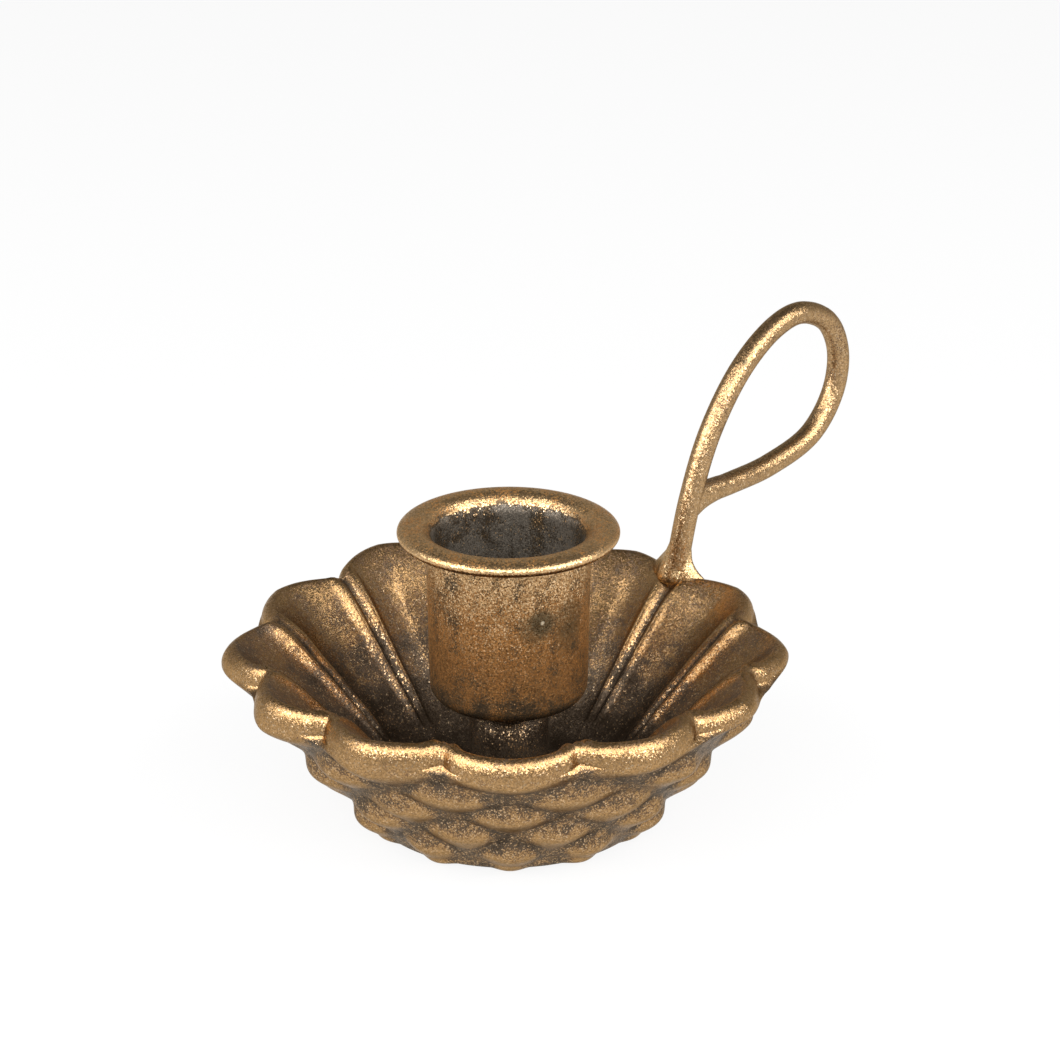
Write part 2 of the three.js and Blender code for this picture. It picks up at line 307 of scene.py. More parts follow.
row_of = bowl.data.attributes["row"]
recess_of = bowl.data.attributes.new("recess", "FLOAT", "POINT")
shade_of = bowl.data.attributes.new("shade", "FLOAT", "POINT")
for vertex in bowl.data.vertices:
    step = round(row_of.data[vertex.index].value)
    turn = math.atan2(vertex.co.y, vertex.co.x) % math.tau
    place = turn / math.tau * PETALS
    petal = int(place) % PETALS
    across = clamp(2 * (place - int(place)) - 1, -1, 1)
    r, z, recess = bowl_point(across, PETAL_FACE[petal], step)
    from_loop = (turn + math.pi) % math.tau - math.pi
    rise = smoothstep(0.35, 1, z / RIM_Z)
    own = rise * (1 - abs(across) ** 3)
    r += own * PETAL_REACH[petal]
    z += own * PETAL_LIFT[petal]
    z -= rise * SADDLE_DROP * math.exp(-(from_loop / SADDLE_WIDE) ** 2)
    at = Vector((r * math.cos(turn), r * math.sin(turn), z))
    lump = noise.noise(at / LUMP_SIZE) * LUMP_PROUD * smoothstep(0, LUMP_START_Z, z)
    at += Vector((math.cos(turn), math.sin(turn), 0)) * lump
    vertex.co = at
    # Painted shade on the inside of each petal, by its own share, with the ground kept warm brown.
    if step > BASE_ROWS + WALL_STEPS + LIP_STEPS:
        dark = PETAL_PAINTED_SHADE[petal] * (1 - across ** 4)
        recess += dark
        shade_of.data[vertex.index].value = -PETAL_WARM * dark
    recess_of.data[vertex.index].value = recess
bowl.data.attributes.remove(row_of)


def node(tree, kind, **settings):
    made = tree.nodes.new(kind)
    for name, value in settings.items():
        if name in made.inputs:
            made.inputs[name].default_value = value
        else:
            setattr(made, name, value)
    return made


def math_node(tree, operation, a, b=None, c=None):
    made = tree.nodes.new("ShaderNodeMath")
    made.operation = operation
    for socket, value in zip(made.inputs, (a, b, c)):
        if isinstance(value, (int, float)):
            socket.default_value = value
        elif value is not None:
            tree.links.new(value, socket)
    return made.outputs[0]


# A texture's value, from 0 to 1, as a swing to both sides of 0.
def swing(tree, value, reach):
    return math_node(tree, "MULTIPLY_ADD", value, 2 * reach, -reach)


# How fine each part of the finish is, and how much it does.
BLOTCHES_PER_M = 230.0
SPECKS_PER_M = 3600.0
FLAKES_PER_M = 5200.0
STREAKS_PER_M = 420.0
STREAK_SQUEEZE = 0.08
BLOTCH_SWING = 1.15
SAND_SWING = 0.45
GRAIN_REACH = 1.6
GRAIN_BASE = -0.55
FLAKE_HOLD = 0.7
FLAKE_EDGE = 0.2
FLAKE_LEAN = 0.28
FLAKE_DIM = 0.65
FLAKE_RANGE = 0.7
SPARK_RARE = 10.0
SPARK_LIGHT = (0.22, 0.2, 0.16)
GROUND_ROUGH = 0.43
FLAKE_POLISH = 0.14
GROUND_METAL = 0.7
DEPTH_TO_GROUND = 0.5
STAIN_CORE = 0.5
EDGE_SHEEN = 0.2
EDGE_TINT = (0.6, 0.56, 0.5, 1)
PITTED = 0.5
PIT_DEEP = 0.00008


# Antique brass: gold flakes over a darker ground. The deeper the hollow, the darker the ground and
# the fewer the flakes left on it, and each flake leans a little its own way, so that it glints.
def antique_brass(name, gold, grounds, streaks=0.0, stains=()):
    material = bpy.data.materials.new(name)
    material.use_nodes = True
    tree = material.node_tree
    shader = tree.nodes["Principled BSDF"]
    place = tree.nodes.new("ShaderNodeTexCoord").outputs["Object"]
    recess = node(tree, "ShaderNodeAttribute", attribute_name="recess").outputs["Fac"]
    shade = node(tree, "ShaderNodeAttribute", attribute_name="shade").outputs["Fac"]

    def texture(kind, **settings):
        made = node(tree, kind, **settings)
        tree.links.new(place, made.inputs["Vector"])
        return made

    def noisy(per_metre, detail, roughness):
        made = texture("ShaderNodeTexNoise", Scale=per_metre, Detail=detail, Roughness=roughness)
        return made.outputs["Fac"]

    blotch = noisy(BLOTCHES_PER_M, 6.0, 0.7)
    speck = noisy(SPECKS_PER_M, 2.0, 0.6)
    flake = texture("ShaderNodeTexVoronoi", Scale=FLAKES_PER_M)
    draw = node(tree, "ShaderNodeSeparateColor")
    tree.links.new(flake.outputs["Color"], draw.inputs["Color"])

    depth = math_node(tree, "ADD", recess, swing(tree, blotch, BLOTCH_SWING))
    if streaks:
        drawn = node(tree, "ShaderNodeMapping", Scale=(1, 1, STREAK_SQUEEZE))
        tree.links.new(place, drawn.inputs["Vector"])
        streak = node(tree, "ShaderNodeTexNoise", Scale=STREAKS_PER_M, Detail=3.0)
        tree.links.new(drawn.outputs["Vector"], streak.inputs["Vector"])
        depth = math_node(tree, "ADD", depth, swing(tree, streak.outputs["Fac"], streaks))

    grain = math_node(tree, "MULTIPLY_ADD", speck, GRAIN_REACH, GRAIN_BASE)
    hold = math_node(tree, "MULTIPLY_ADD", draw.outputs["Red"], FLAKE_HOLD, grain)
    spark = math_node(tree, "POWER", draw.outputs["Blue"], SPARK_RARE)
    hold = math_node(tree, "ADD", hold, spark)
    cover = node(tree, "ShaderNodeMapRange", interpolation_type="SMOOTHSTEP")
    tree.links.new(math_node(tree, "SUBTRACT", hold, depth), cover.inputs["Value"])
    cover.inputs["From Min"].default_value = -FLAKE_EDGE
    cover.inputs["From Max"].default_value = FLAKE_EDGE
    flaked = cover.outputs["Result"]

    ground = tree.nodes.new("ShaderNodeValToRGB")
    stops = ground.color_ramp.elements
    while len(stops) < len(grounds):
        stops.new(1)
    for stop, (at, colour) in zip(stops, grounds):
        stop.position = at
        stop.color = (*colour, 1)
    tone = math_node(tree, "MULTIPLY_ADD", depth, DEPTH_TO_GROUND, shade)
    sand = swing(tree, speck, SAND_SWING)
    tree.links.new(math_node(tree, "ADD", tone, sand), ground.inputs["Fac"])
    shine = node(tree, "ShaderNodeVectorMath", operation="SCALE")
    shine.inputs[0].default_value = gold
    own = math_node(tree, "MULTIPLY_ADD", draw.outputs["Green"], FLAKE_RANGE, FLAKE_DIM)
    tree.links.new(own, shine.inputs["Scale"])
    glint = node(tree, "ShaderNodeVectorMath", operation="MULTIPLY_ADD")
    tree.links.new(spark, glint.inputs[0])
    glint.inputs[1].default_value = SPARK_LIGHT
    tree.links.new(shine.outputs["Vector"], glint.inputs[2])

    def mixed(share, under, over):
        made = node(tree, "ShaderNodeMix", data_type="RGBA")
        tree.links.new(share, made.inputs[0])
        tree.links.new(under, made.inputs[6])
        if isinstance(over, tuple):
            made.inputs[7].default_value = (*over, 1)
        else:
            tree.links.new(over, made.inputs[7])
        return made.outputs[2]

    colour = mixed(flaked, ground.outputs["Color"], glint.outputs["Vector"])
    for centre, radius, strength, tint in stains:
        away = node(tree, "ShaderNodeVectorMath", operation="DISTANCE")
        tree.links.new(place, away.inputs[0])
        away.inputs[1].default_value = centre
        spread = node(tree, "ShaderNodeMapRange", interpolation_type="SMOOTHSTEP")
        tree.links.new(away.outputs["Value"], spread.inputs["Value"])
        spread.inputs["From Min"].default_value = radius
        spread.inputs["From Max"].default_value = STAIN_CORE * radius
        spread.inputs["To Max"].default_value = strength
        colour = mixed(spread.outputs["Result"], colour, tint)
    tree.links.new(colour, shader.inputs["Base Color"])

    rough = math_node(tree, "MULTIPLY_ADD", flaked, -FLAKE_POLISH, GROUND_ROUGH)
    tree.links.new(rough, shader.inputs["Roughness"])
    metal = math_node(tree, "MULTIPLY_ADD", flaked, 1 - GROUND_METAL, GROUND_METAL)
    tree.links.new(metal, shader.inputs["Metallic"])
    shader.inputs["Specular IOR Level"].default_value = EDGE_SHEEN
    shader.inputs["Specular Tint"].default_value = EDGE_TINT

    bump = node(tree, "ShaderNodeBump", Strength=PITTED, Distance=PIT_DEEP)
    tree.links.new(math_node(tree, "ADD", speck, blotch), bump.inputs["Height"])
    lean = node(tree, "ShaderNodeVectorMath", operation="MULTIPLY_ADD")
    tree.links.new(flake.outputs["Color"], lean.inputs[0])
    lean.inputs[1].default_value = (FLAKE_LEAN,) * 3
    lean.inputs[2].default_value = (-FLAKE_LEAN / 2,) * 3
    tipped = node(tree, "ShaderNodeVectorMath", operation="ADD")
    tree.links.new(bump.outputs["Normal"], tipped.inputs[0])
    tree.links.new(lean.outputs["Vector"], tipped.inputs[1])
    unit = node(tree, "ShaderNodeVectorMath", operation="NORMALIZE")
    tree.links.new(tipped.outputs["Vector"], unit.inputs[0])
    tree.links.new(unit.outputs["Vector"], shader.inputs["Normal"])
    return material


def fit(piece, material, name):
    piece.data.materials.clear()
    piece.data.materials.append(material)
    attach(piece, "root")
    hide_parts(name)


GOLD = (0.38, 0.226, 0.098)
GROUNDS = [
    (0.0, (0.19, 0.11, 0.057)),
    (0.25, (0.14, 0.083, 0.047)),
    (0.45, (0.098, 0.072, 0.05)),
    (0.75, (0.037, 0.025, 0.0155)),
]
fit(bowl, antique_brass("bowl_brass", GOLD, GROUNDS), "bowl")


# Cup pedestal
# A short cast post, dark with patina, standing on the bowl's floor under the cup. The screw that
# holds the cup runs down through it.

CUP_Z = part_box("cup_pedestal")[1].z
POST_R = 0.00615
POST_FLARE = 0.0012
POST_DARK = 1.15
POST_COLUMNS = 72


def arc(centre_r, centre_z, radius_r, radius_z, start, end, steps):
    turns = [mix(start, end, i / steps) for i in range(steps + 1)]
    return [(centre_r + radius_r * math.cos(t), centre_z + radius_z * math.sin(t)) for t in turns]


def set_depth(piece, rule, name="recess"):
    values = piece.data.attributes.new(name, "FLOAT", "POINT").data
    for vertex in piece.data.vertices:
        values[vertex.index].value = rule(vertex.co)


pedestal = spun(outline("cup_post", [
    (0, FLOOR_Z),
    *arc(POST_R + POST_FLARE, FLOOR_Z + POST_FLARE, POST_FLARE, POST_FLARE, -QUARTER, -math.pi, 8),
    (POST_R, mix(FLOOR_Z, CUP_Z, 0.5)),
    (POST_R, CUP_Z),
    (0, CUP_Z),
]), POST_COLUMNS)
set_depth(pedestal, lambda at: POST_DARK)
fit(pedestal, antique_brass("post_brass", GOLD, GROUNDS), "cup_pedestal")


# Candle cup
# Deep-drawn brass cup with a little draft, its mouth rolled outwards into a full lip. Gold outside
# and dark grey inside, it stands on the post and takes the foot of a taper candle.

BORE_R = 0.01155
CUP_WALL = 0.00115
CUP_R = BORE_R + CUP_WALL
CUP_DRAFT = 0.00045
CUP_FLOOR = 0.0015
CUP_CORNER = 0.0025
CUP_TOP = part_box("candle_cup")[1].z
CUP_LIP_WIDE = 0.0026
CUP_LIP_TALL = 0.0013
CUP_LIP_OVER = 0.0044
MOUTH_DEEP = 0.0034
CUP_COLUMNS = 160

seat_z = CUP_Z + CUP_FLOOR
lip_r = CUP_R + CUP_LIP_OVER - CUP_LIP_WIDE
lip_z = CUP_TOP - CUP_LIP_TALL
roll_start = math.acos((lip_r - CUP_R) / CUP_LIP_WIDE) - math.pi
outer_r = CUP_R - CUP_DRAFT - CUP_CORNER
inner_corner = CUP_CORNER - CUP_WALL
inner_r = BORE_R - CUP_DRAFT - inner_corner
rolled_lip = arc(lip_r, lip_z, CUP_LIP_WIDE, CUP_LIP_TALL, roll_start, QUARTER, 30)
mouth = arc(lip_r, CUP_TOP - MOUTH_DEEP, lip_r - BORE_R, MOUTH_DEEP, QUARTER, math.pi, 16)
outer_wall = arc(outer_r, CUP_Z + CUP_CORNER, CUP_CORNER, CUP_CORNER, -QUARTER, 0, 12)
inner_wall = arc(inner_r, seat_z + inner_corner, inner_corner, inner_corner, 0, -QUARTER, 8)


def between(a, b, steps):
    return [(mix(a[0], b[0], i / steps), mix(a[1], b[1], i / steps)) for i in range(1, steps)]


cup = spun(outline("candle_cup_brass", [
    (0, CUP_Z),
    *outer_wall,
    *between(outer_wall[-1], rolled_lip[0], 24),
    *rolled_lip,
    *mouth[1:],
    *between(mouth[-1], inner_wall[0], 20),
    *inner_wall,
    (0, seat_z),
]), CUP_COLUMNS)

# Depth of the cup's patina on its wall, rim and bore, and the shift of its ground's colour there. The
# wall's foot, down in the bowl, is darkened with painted shade.
WALL_DARK = 0.82
WALL_TOP_GOLD = 0.37
FOOT_PAINTED_SHADE = 0.4
RIM_DARK = 0.1
RIM_WORN = 0.35
BORE_DARK = 1.35
WALL_WARM = 0.14
WALL_TOP_SHADE = 0.4
FOOT_PAINTED_SHADE_TONE = 0.09
RIM_WARM = 0.06
BORE_SHADE = 0.15


# Up the wall as a share of its height, or None on the rolled rim and the inside.
def up_wall(at):
    r = math.hypot(at.x, at.y)
    up = (at.z - CUP_Z) / (lip_z - CUP_Z)
    inside = at.z > seat_z - 0.1 * MM and r < BORE_R - CUP_DRAFT * (1 - up) + 0.5 * MM
    on_rim = at.z > lip_z or r > CUP_R + 0.3 * MM
    return None if inside or on_rim else up


# How far a place is on the rolled rim's flat top, and how far down the bore, both from 0 to 1.
def rim_top(at):
    return smoothstep(0.8 * MM, 0.1 * MM, CUP_TOP - at.z)


def down_bore(at):
    if math.hypot(at.x, at.y) > lip_r:
        return 0
    return smoothstep(0.4 * MM, 2.2 * MM, CUP_TOP - at.z)


def cup_recess(at):
    up = up_wall(at)
    if up is not None:
        # Painted shade: fewer flakes towards the wall's foot, down in the bowl.
        foot = FOOT_PAINTED_SHADE * smoothstep(0.25, 0.0, up)
        return WALL_DARK - WALL_TOP_GOLD * smoothstep(0.5, 0.85, up) + foot
    return mix(RIM_DARK + RIM_WORN * rim_top(at), BORE_DARK, down_bore(at))


# The wall darkens under the rim, its foot darkens with painted shade, and the bore is grey all over.
def cup_shade(at):
    up = up_wall(at)
    if up is not None:
        # Painted shade: a darker ground towards the wall's foot.
        foot = FOOT_PAINTED_SHADE_TONE * smoothstep(0.5, 0.0, up)
        return WALL_TOP_SHADE * smoothstep(0.5, 0.95, up) + foot - WALL_WARM
    return mix(-RIM_WARM * rim_top(at), BORE_SHADE, down_bore(at))


set_depth(cup, cup_recess)
set_depth(cup, cup_shade, "shade")
CUP_GOLD = (0.61, 0.39, 0.19)
CUP_GROUNDS = [
    (0.0, (0.54, 0.27, 0.09)),
    (0.3, (0.37, 0.173, 0.056)),
    (0.45, (0.135, 0.087, 0.046)),
    (0.7, (0.06, 0.046, 0.032)),
    (0.95, (0.19, 0.163, 0.132)),
]
CUP_STREAKS = 0.45
STAIN = (0.1, 0.082, 0.048)
PIT_LIGHT = (0.9, 0.8, 0.6)
# Each stain's centre, radius, strength and colour.
CUP_STAINS = [
    ((-0.0056, -0.0113, 0.0357), 0.0034, 0.5, STAIN),
    ((0.0004, -0.0126, 0.0361), 0.0042, 0.5, STAIN),
    ((0.0006, -0.0126, 0.033), 0.0036, 0.4, STAIN),
    ((-0.00454, -0.01175, 0.0366), 0.0027, 0.75, STAIN),
    ((-0.00454, -0.01175, 0.0366), 0.0004, 0.9, PIT_LIGHT),
    ((-0.01474, -0.00465, 0.0465), 0.0005, 0.8, STAIN),
]
cup_brass = antique_brass("cup_brass", CUP_GOLD, CUP_GROUNDS, CUP_STREAKS, CUP_STAINS)
fit(cup, cup_brass, "candle_cup")


# Cup screw
# Slotted pan-head screw of dulled steel. It goes down through the cup's floor and the post into
# the bowl.

SCREW_R = 0.002
HEAD_R = 0.004
HEAD_H = 0.0024
HEAD_SIDE = 0.0011
SLOT_W = 0.001
SLOT_D = 0.0011
SCREW_DARK = 0.6
SCREW_COLUMNS = 48
screw_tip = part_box("cup_screw")[0].z

screw = spun(outline("cup_screw_steel", [
    (0, screw_tip),
    (SCREW_R, screw_tip),
    (SCREW_R, seat_z),
    (HEAD_R, seat_z),
    *arc(0, seat_z + HEAD_SIDE, HEAD_R, HEAD_H - HEAD_SIDE, 0, QUARTER, 12),
]), SCREW_COLUMNS)
bpy.ops.object.select_all(action="DESELECT")
bpy.ops.mesh.primitive_cube_add(size=1, location=(0, 0, seat_z + HEAD_H))
slot_cutter = bpy.context.object
slot_cutter.scale = (3 * HEAD_R, SLOT_W, 2 * SLOT_D)
bpy.ops.object.select_all(action="DESELECT")
bpy.context.view_layer.objects.active = screw
screw.select_set(True)
cut = screw.modifiers.new("slot", "BOOLEAN")
cut.object = slot_cutter
cut.operation = "DIFFERENCE"
bpy.ops.object.modifier_apply(modifier=cut.name)
bpy.data.objects.remove(slot_cutter)
bpy.ops.object.shade_smooth_by_angle(angle=math.radians(35))
set_depth(screw, lambda at: SCREW_DARK)
STEEL = (0.4, 0.38, 0.34)
STEEL_GROUNDS = [(0.0, (0.2, 0.18, 0.16)), (1.0, (0.05, 0.047, 0.043))]
fit(screw, antique_brass("screw_steel", STEEL, STEEL_GROUNDS), "cup_screw")


# Handle rod
# One round brass rod bent into a finger loop. Its stem stands in a notch of the rim, and its end
# comes back to the stem.

ROD_R = 0.00184
STEM_LEAN = 0.28
STEM_H = 0.03623
LOOP_REACH = 0.03932
LOOP_END_H = 0.0112
FOOT_X = 0.0384
FOOT_Z = 0.0295
ROD_STEPS = 12
STEM_DARK = 0.08
LOOP_DARK = 0.25
STEM_TOP_Z = 0.043
LOOP_LOW_Z = 0.052
# The loop's way from the stem over its top and back, as shares of its reach and of the stem's height.
LOOP_SHARES = [
    (0.194, 0.588), (0.379, 0.836), (0.58, 0.973), (0.742, 1), (0.918, 0.91), (0.993, 0.748),
    (0.969, 0.567), (0.835, 0.401), (0.576, 0.323), (0.33, 0.308),
]
end_z = FOOT_Z + LOOP_END_H
end_x = FOOT_X + STEM_LEAN * (LOOP_END_H + ROD_R) + ROD_R
rod_marks = [
    Vector((FOOT_X, 0, FOOT_Z)),
    Vector((FOOT_X + STEM_LEAN * LOOP_END_H, 0, end_z)),
    *[Vector((FOOT_X + LOOP_REACH * out, 0, FOOT_Z + STEM_H * up)) for out, up in LOOP_SHARES],
    Vector((end_x, 0, end_z)),
]


# Centripetal curve through the marks, with a straight lead in and out.
def smooth_path(marks, steps):
    ends = [2 * marks[0] - marks[1], *marks, 2 * marks[-1] - marks[-2]]
    path = []
    for a, b, c, d in zip(ends, ends[1:], ends[2:], ends[3:]):
        t0 = 0.0
        t1 = t0 + (b - a).length ** 0.5
        t2 = t1 + (c - b).length ** 0.5
        t3 = t2 + (d - c).length ** 0.5
        for i in range(steps):
            t = mix(t1, t2, i / steps)
            ab = a * ((t1 - t) / (t1 - t0)) + b * ((t - t0) / (t1 - t0))
            bc = b * ((t2 - t) / (t2 - t1)) + c * ((t - t1) / (t2 - t1))
            cd = c * ((t3 - t) / (t3 - t2)) + d * ((t - t2) / (t3 - t2))
            abc = ab * ((t2 - t) / (t2 - t0)) + bc * ((t - t0) / (t2 - t0))
            bcd = bc * ((t3 - t) / (t3 - t1)) + cd * ((t - t1) / (t3 - t1))
            path.append(abc * ((t2 - t) / (t2 - t1)) + bcd * ((t - t1) / (t2 - t1)))
    return [*path, marks[-1]]


def rod_along(name, path, radius):
    bpy.ops.object.select_all(action="DESELECT")
    line = bpy.data.curves.new(name, "CURVE")
    line.dimensions = "3D"
    spline = line.splines.new("POLY")
    spline.points.add(len(path) - 1)
    for point, at in zip(spline.points, path):
        point.co = (*at, 1)
    line.bevel_depth = radius
    line.bevel_resolution = 8
    line.use_fill_caps = True
    piece = bpy.data.objects.new(name, line)
    bpy.context.scene.collection.objects.link(piece)
    bpy.context.view_layer.objects.active = piece
    piece.select_set(True)
    bpy.ops.object.convert(target="MESH")
    bpy.ops.object.mode_set(mode="EDIT")
    bpy.ops.mesh.select_all(action="SELECT")
    bpy.ops.mesh.remove_doubles(threshold=MM / 1000)
    bpy.ops.mesh.normals_make_consistent(inside=False)
    bpy.ops.object.mode_set(mode="OBJECT")
    bpy.ops.object.shade_smooth_by_angle(angle=math.radians(50))
    return piece


rod = rod_along("finger_loop_rod", smooth_path(rod_marks, ROD_STEPS), ROD_R)
set_depth(rod, lambda at: mix(STEM_DARK, LOOP_DARK, smoothstep(STEM_TOP_Z, LOOP_LOW_Z, at.z)))
ROD_GOLD = (0.41, 0.258, 0.124)
ROD_STAINS = [((0.0528, -0.0012, 0.0613), 0.0006, 0.8, STAIN)]
fit(rod, antique_brass("rod_brass", ROD_GOLD, GROUNDS, stains=ROD_STAINS), "handle_rod")


# Welds
# The bead in the crotch where the loop's end meets the stem, and the bead that fixes the stem to
# the notch and to both petals beside it. Filler brass, run smooth and finished with the rest.


# A skin over oval rings, each a centre, its reach and its half width, closed at both ends.
def lofted(name, rings, columns):
    last = len(rings) + 1
    ladder = [(0, 0), *[(MM, i * MM) for i in range(1, last)], (0, last * MM)]
    piece = spun(outline(name, ladder), columns)
    for vertex in piece.data.vertices:
        i = round(vertex.co.z / MM)
        centre, reach, half = rings[max(0, min(len(rings) - 1, i - 1))]
        turn = math.atan2(vertex.co.y, vertex.co.x)
        pole = i in (0, last)
        around = Vector((0, 0, 0)) if pole else math.cos(turn) * reach + math.sin(turn) * half
        vertex.co = centre + around
    bpy.ops.object.select_all(action="DESELECT")
    bpy.context.view_layer.objects.active = piece
    piece.select_set(True)
    rounder = piece.modifiers.new("rounder", "SUBSURF")
    rounder.levels = 2
    rounder.render_levels = 2
    bpy.ops.object.modifier_apply(modifier=rounder.name)
    bpy.ops.object.mode_set(mode="EDIT")
    bpy.ops.mesh.select_all(action="SELECT")
    bpy.ops.mesh.normals_make_consistent(inside=False)
    bpy.ops.object.mode_set(mode="OBJECT")
    bpy.ops.object.shade_smooth()
    return piece


# Height, half depth and half width of the rings of the root weld's body and of its skirt on both
# petals.
BODY_RINGS = [
    (0.0269, 0.0009, 0.0013), (0.0273, 0.0019, 0.0023), (0.0282, 0.0022, 0.0026),
    (0.0292, 0.0021, 0.0024), (0.0304, 0.00198, 0.00215), (0.0318, 0.00195, 0.002),
    (0.0332, 0.0019, 0.00193), (0.0346, 0.00185, 0.00185), (0.0354, 0.0017, 0.0017),
]
SKIRT_RINGS = [
    (0.0262, 0.0008, 0.0046), (0.0272, 0.0013, 0.0064), (0.0282, 0.0014, 0.006),
    (0.0292, 0.0014, 0.0046), (0.0304, 0.00145, 0.0034), (0.0318, 0.0015, 0.0025),
    (0.0332, 0.0015, 0.00195),
]
WELD_COLUMNS = 16
SKIRT_OUT = 0.0003
SKIRT_CURL = 55.0
WELD_GRAIN = 0.00022
WELD_SIDE = 0.0008
WELD_SIDE_TOP_Z = 0.0345
WELD_SIDE_FULL_Z = 0.03
WELD_SHADE_TOP_Z = 0.0277
WELD_SHADE_FADE = 0.0006
WELD_DARK = 0.02
WELD_DARK_PER_M = 70.0
WELD_GOLD = (0.52, 0.345, 0.17)


def stem_rings(rings, out):
    return [(
        Vector((FOOT_X + STEM_LEAN * (z - FOOT_Z) + out, 0, z)),
        Vector((deep, 0, 0)),
        Vector((0, wide, 0)),
    ) for z, deep, wide in rings]


root_weld = lofted("stem_root_weld", stem_rings(BODY_RINGS, 0), WELD_COLUMNS)
skirt = lofted("root_weld_skirt", stem_rings(SKIRT_RINGS, SKIRT_OUT), WELD_COLUMNS)
for vertex in skirt.data.vertices:
    vertex.co.x += SKIRT_CURL * vertex.co.y ** 2
root_weld.select_set(True)
bpy.context.view_layer.objects.active = root_weld
bpy.ops.object.join()
merge = root_weld.modifiers.new("merge", "REMESH")
merge.mode = "VOXEL"
merge.voxel_size = WELD_GRAIN
bpy.ops.object.modifier_apply(modifier=merge.name)
for vertex in root_weld.data.vertices:
    vertex.co.y += WELD_SIDE * smoothstep(WELD_SIDE_TOP_Z, WELD_SIDE_FULL_Z, vertex.co.z)
soften = root_weld.modifiers.new("soften", "SMOOTH")
soften.iterations = 12
bpy.ops.object.modifier_apply(modifier=soften.name)
bpy.ops.object.shade_smooth()


# The root weld is gold in front, darker along its skirt, and darkened with painted shade under its
# lower edge.
def root_recess(at):
    # Painted shade under the weld's lower edge, where it sits in the notch.
    under = smoothstep(WELD_SHADE_TOP_Z, WELD_SHADE_TOP_Z - WELD_SHADE_FADE, at.z)
    return WELD_DARK + WELD_DARK_PER_M * abs(at.y) + under


set_depth(root_weld, root_recess)
fit(root_weld, antique_brass("root_weld_brass", WELD_GOLD, GROUNDS), "root_weld")

# Place out along the loop, height, half height and half width of the loop weld's rings.
LOOP_RINGS = [
    (0.0412, 0.0404, 0.0037, 0.00175), (0.0424, 0.0404, 0.0033, 0.00184),
    (0.0434, 0.0405, 0.0027, 0.00187), (0.0446, 0.0406, 0.00235, 0.00189),
    (0.046, 0.04065, 0.0021, 0.00189), (0.0476, 0.0407, 0.00197, 0.00189),
    (0.0492, 0.0407, 0.00187, 0.00187), (0.05, 0.04072, 0.0017, 0.0017),
]
CROTCH_LOW_Z = 0.0415
CROTCH_HIGH_Z = 0.0428
CROTCH_DARK = 0.5
loop_weld = lofted("loop_crotch_weld", [
    (Vector((x, 0, z)), Vector((0, 0, tall)), Vector((0, wide, 0)))
    for x, z, tall, wide in LOOP_RINGS
], WELD_COLUMNS)
set_depth(loop_weld, lambda at: mix(
    STEM_DARK, CROTCH_DARK, smoothstep(CROTCH_LOW_Z, CROTCH_HIGH_Z, at.z)
))
fit(loop_weld, antique_brass("loop_weld_brass", ROD_GOLD, GROUNDS), "loop_weld")


# Floor, light and camera
# A plain white table that keeps the shadow, soft boxes to the left, to the right and above the
# camera, and a room that is dark overhead and pale behind the holder.

VIEW_AZIMUTH = math.radians(-45.7)
VIEW_ELEVATION = math.radians(22.0)
VIEW_DISTANCE = 0.6
VIEW_TARGET = Vector((0.0023, -0.00236, 0.0472))
LENS = 133.4
SENSOR_MM = 36


def direction(azimuth, elevation):
    flat = math.cos(elevation)
    return Vector((math.sin(azimuth) * flat, -math.cos(azimuth) * flat, math.sin(elevation)))


FLOOR_SIZE = 60
FLOOR_GREY = 0.85
SEEN_WHITE = 0.88
bpy.ops.object.select_all(action="DESELECT")
bpy.ops.mesh.primitive_plane_add(size=FLOOR_SIZE)
floor = bpy.context.object
floor.name = "floor"
floor_paint = bpy.data.materials.new("floor_white")
floor_paint.use_nodes = True
floor_tree = floor_paint.node_tree
lit = floor_tree.nodes["Principled BSDF"]
lit.inputs["Base Color"].default_value = (FLOOR_GREY, FLOOR_GREY, FLOOR_GREY, 1)
lit.inputs["Roughness"].default_value = 0.9
white = node(floor_tree, "ShaderNodeEmission", Strength=1.0)
paper = node(floor_tree, "ShaderNodeMixShader", Fac=SEEN_WHITE)
floor_tree.links.new(lit.outputs[0], paper.inputs[1])
floor_tree.links.new(white.outputs[0], paper.inputs[2])
ray = floor_tree.nodes.new("ShaderNodeLightPath").outputs
seen = math_node(floor_tree, "MAXIMUM", ray["Is Camera Ray"], ray["Is Glossy Ray"])
seen = math_node(floor_tree, "MAXIMUM", seen, ray["Is Transmission Ray"])
shown = floor_tree.nodes.new("ShaderNodeMixShader")
floor_tree.links.new(seen, shown.inputs[0])
floor_tree.links.new(lit.outputs[0], shown.inputs[1])
floor_tree.links.new(paper.outputs[0], shown.inputs[2])
floor_tree.links.new(shown.outputs[0], floor_tree.nodes["Material Output"].inputs["Surface"])
floor.data.materials.append(floor_paint)

BACKDROP = 0.4
ROOM = 0.5
CEILING = 0.1
world = bpy.data.worlds.new("studio")
bpy.context.scene.world = world
world.use_nodes = True
room_tree = world.node_tree
background = room_tree.nodes["Background"]
background.inputs["Color"].default_value = (1, 1, 1, 1)
facing = room_tree.nodes.new("ShaderNodeTexCoord").outputs["Generated"]


def fade(value, start, end, low, high):
    made = node(room_tree, "ShaderNodeMapRange", interpolation_type="SMOOTHSTEP")
    room_tree.links.new(value, made.inputs["Value"])
    for name, number in zip(("From Min", "From Max", "To Min", "To Max"), (start, end, low, high)):
        made.inputs[name].default_value = number
    return made.outputs["Result"]


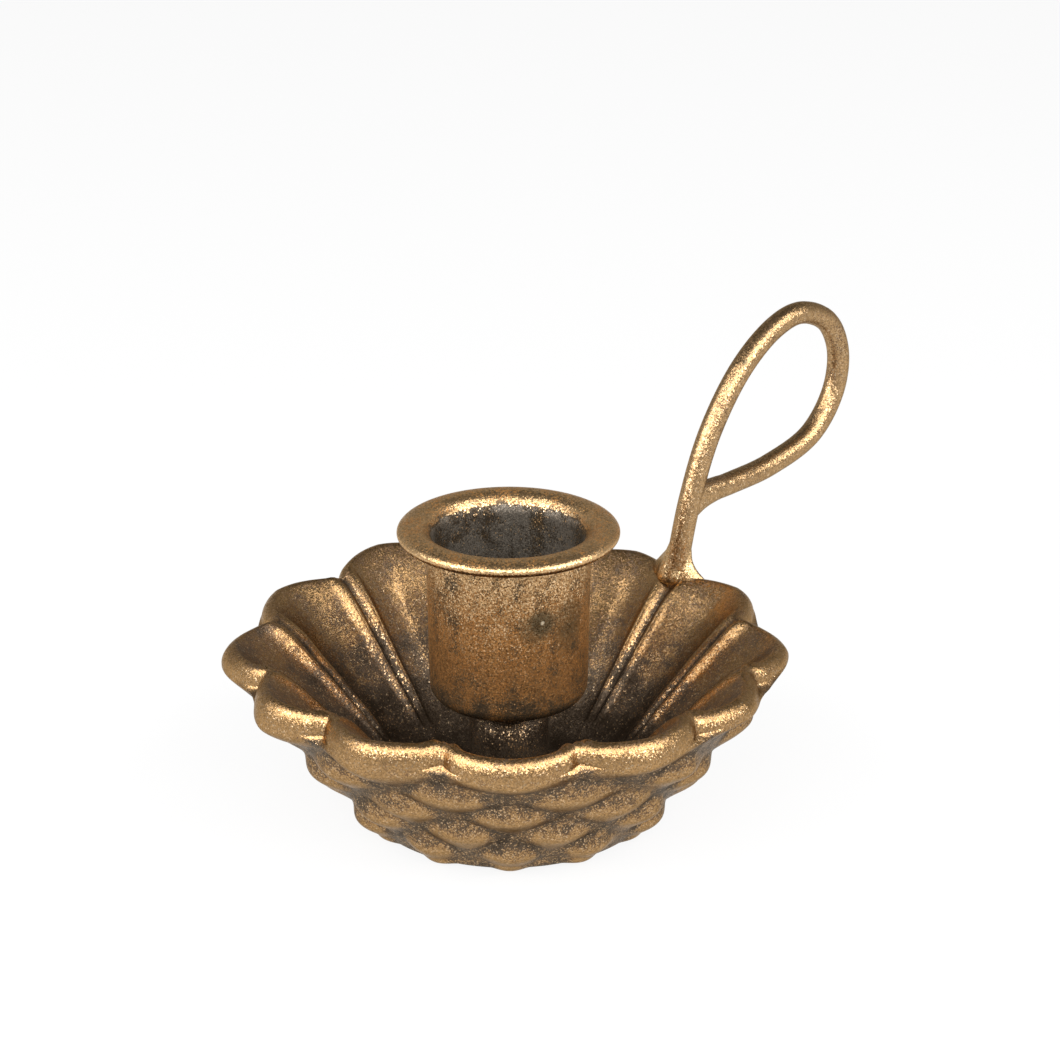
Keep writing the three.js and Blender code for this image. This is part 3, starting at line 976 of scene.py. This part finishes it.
ahead = node(room_tree, "ShaderNodeVectorMath", operation="DOT_PRODUCT")
room_tree.links.new(facing, ahead.inputs[0])
ahead.inputs[1].default_value = direction(VIEW_AZIMUTH + math.pi, 0)
split = room_tree.nodes.new("ShaderNodeSeparateXYZ")
room_tree.links.new(facing, split.inputs[0])
behind = fade(ahead.outputs["Value"], -0.2, 0.5, 0, 1)
low = fade(split.outputs["Z"], 0.4, 0.75, 1, 0)
around = fade(split.outputs["Z"], 0.2, 0.7, ROOM, CEILING)
backdrop = math_node(room_tree, "MULTIPLY", behind, low)
elsewhere = math_node(room_tree, "SUBTRACT", 1.0, backdrop)
pale = math_node(room_tree, "MULTIPLY", backdrop, BACKDROP)
glow = math_node(room_tree, "MULTIPLY_ADD", around, elsewhere, pale)
room_tree.links.new(glow, background.inputs["Strength"])


def soft_box(name, azimuth, elevation, size, power):
    light = bpy.data.lights.new(name, "AREA")
    light.shape = "RECTANGLE"
    light.size = size[0]
    light.size_y = size[1]
    light.energy = power
    lamp = bpy.data.objects.new(name, light)
    back = direction(VIEW_AZIMUTH + math.radians(azimuth), math.radians(elevation))
    lamp.location = VIEW_TARGET + BOX_DISTANCE * back
    lamp.rotation_euler = back.to_track_quat("Z", "Y").to_euler()
    bpy.context.scene.collection.objects.link(lamp)


BOX_DISTANCE = 0.75
SIDE_BOX = (0.6, 0.5)
SIDE_POWER = 5.0
FRONT_BOX = (0.9, 0.4)
FRONT_POWER = 5.5
soft_box("left_soft_box", -66, 36, SIDE_BOX, SIDE_POWER)
soft_box("right_soft_box", 66, 36, SIDE_BOX, SIDE_POWER)
soft_box("front_soft_box", 0, 44, FRONT_BOX, FRONT_POWER)

lens = bpy.data.cameras.new("camera")
lens.sensor_width = SENSOR_MM
lens.lens = LENS
camera = bpy.data.objects.new("camera", lens)
back = direction(VIEW_AZIMUTH, VIEW_ELEVATION)
camera.location = VIEW_TARGET + VIEW_DISTANCE * back
camera.rotation_euler = back.to_track_quat("Z", "Y").to_euler()
bpy.context.scene.collection.objects.link(camera)
bpy.context.scene.camera = camera
bpy.context.scene.view_settings.view_transform = "Standard"
